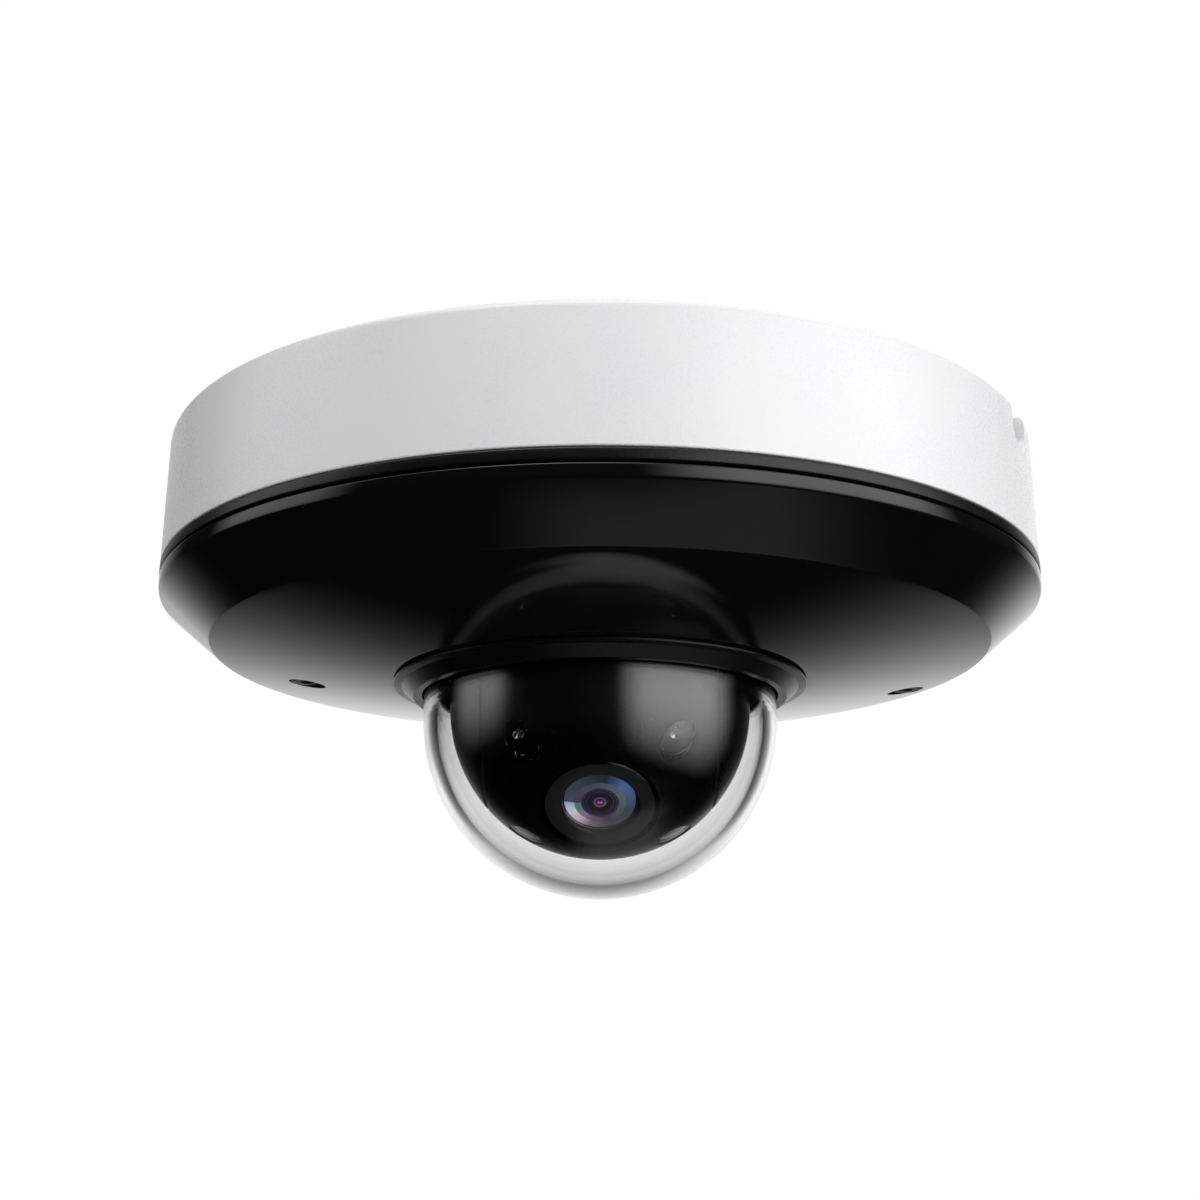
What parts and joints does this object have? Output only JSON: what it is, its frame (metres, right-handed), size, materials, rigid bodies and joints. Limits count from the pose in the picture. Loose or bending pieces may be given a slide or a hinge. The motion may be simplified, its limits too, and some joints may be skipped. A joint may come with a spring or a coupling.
{
  "type": "ceiling dome security camera",
  "caption": "Round ceiling security camera with a clear dome over a pan-and-tilt lens ball, taken apart into its casings, drives, boards and fasteners.",
  "frame": {"origin": "centre of the flat mounting face that lies against the ceiling", "axes": "+Z out of the mounting face, up into the ceiling; -Y is the way the lens faces; +X to the right when looking along +Y"},
  "size_m": [0.1302, 0.1302, 0.0654],
  "materials": {
    "white_housing": "fine-grained satin white",
    "gloss_cover": "piano-black gloss",
    "black_textured_plastic": "fine-textured satin black",
    "lens_parts_black": "satin dark grey",
    "clear_dome": "clear polished bubble",
    "lens_glass": "coated optical glass",
    "lamp_lens": "clear moulded lamp lens",
    "seal_rubber": "matt",
    "steel": "plain",
    "aluminium": "satin",
    "circuit_board": "green solder mask",
    "chip_plastic": "matt moulded",
    "gear_plastic": "natural nylon"
  },
  "bodies": {
    "base": {"mounting_plate": "steel", "housing": "white_housing", "chassis_ring": "black_textured_plastic", "cover_gasket": "seal_rubber", "cover": "gloss_cover", "cover_screw_left": "steel", "cover_screw_right": "steel", "cover_screw_rear": "steel", "trim_ring": "black_textured_plastic", "dome": "clear_dome", "dome_gasket": "seal_rubber", "dome_retainer": "black_textured_plastic", "retainer_screw_1": "steel", "retainer_screw_2": "steel", "retainer_screw_3": "steel", "main_board": "circuit_board", "board_screw_1": "steel", "board_screw_2": "steel", "board_screw_3": "steel", "network_socket": "steel", "processor": "chip_plastic", "heat_sink": "aluminium", "card_socket": "steel", "memory_card": "chip_plastic", "reset_switch": "chip_plastic", "pan_motor": "steel", "pan_bearing_outer": "steel"},
    "pan_head": {"turntable": "black_textured_plastic", "pan_gear": "gear_plastic", "pan_bearing_inner": "steel", "hub_nut": "steel", "yoke_arm_left": "aluminium", "yoke_arm_right": "aluminium", "side_cap_left": "black_textured_plastic", "side_cap_right": "black_textured_plastic", "tilt_ring_gear": "gear_plastic"},
    "tilt_head": {"ball_front_shell": "black_textured_plastic", "ball_rear_shell": "black_textured_plastic", "trunnion_left": "steel", "trunnion_right": "steel", "lens_bezel": "lens_parts_black", "front_lens": "lens_glass", "lens_barrel": "lens_parts_black", "lens_holder": "lens_parts_black", "sensor_board": "circuit_board", "image_sensor": "chip_plastic", "lamp_board": "circuit_board", "infrared_lamp_1": "lamp_lens", "infrared_lamp_2": "lamp_lens", "infrared_lamp_3": "lamp_lens", "infrared_lamp_4": "lamp_lens", "tilt_motor": "steel"},
    "pan_pinion": {"pan_pinion": "gear_plastic"},
    "tilt_pinion": {"tilt_pinion": "gear_plastic"},
    "reset_button": {"reset_button": "gear_plastic"},
    "infrared_filter": {"infrared_filter": "lens_glass"}
  },
  "joints": [
    {"name": "pan_turn", "type": "hinge", "parent": "base", "child": "pan_head", "pos_m": [0, 0, -0.0373], "axis": [0, 0, 1], "range_deg": [-170, 170]},
    {"name": "tilt_turn", "type": "hinge", "parent": "pan_head", "child": "tilt_head", "pos_m": [0, 0, -0.0373], "axis": [1, 0, 0], "range_deg": [-52, 38]},
    {"name": "pan_pinion_spin", "type": "hinge", "parent": "base", "child": "pan_pinion", "pos_m": [-0.02546, -0.02546, -0.0118], "axis": [0, 0, 1], "range_deg": [-860, 860]},
    {"name": "tilt_pinion_spin", "type": "hinge", "parent": "tilt_head", "child": "tilt_pinion", "pos_m": [0, 0.00462, -0.03139], "axis": [1, 0, 0], "range_deg": [-109, 81]},
    {"name": "filter_slide", "type": "slide", "parent": "tilt_head", "child": "infrared_filter", "axis": [1, 0, 0], "range_m": [0, 0.0055]},
    {"name": "reset_press", "type": "slide", "parent": "base", "child": "reset_button", "axis": [0, 0, 1], "range_m": [0, 0.0005], "stiffness_N_per_m": 2000}
  ],
  "couplings": [
    {"joint": "pan_pinion_spin", "follows": "pan_turn", "ratio": -5},
    {"joint": "tilt_pinion_spin", "follows": "tilt_turn", "ratio": 2}
  ]
}
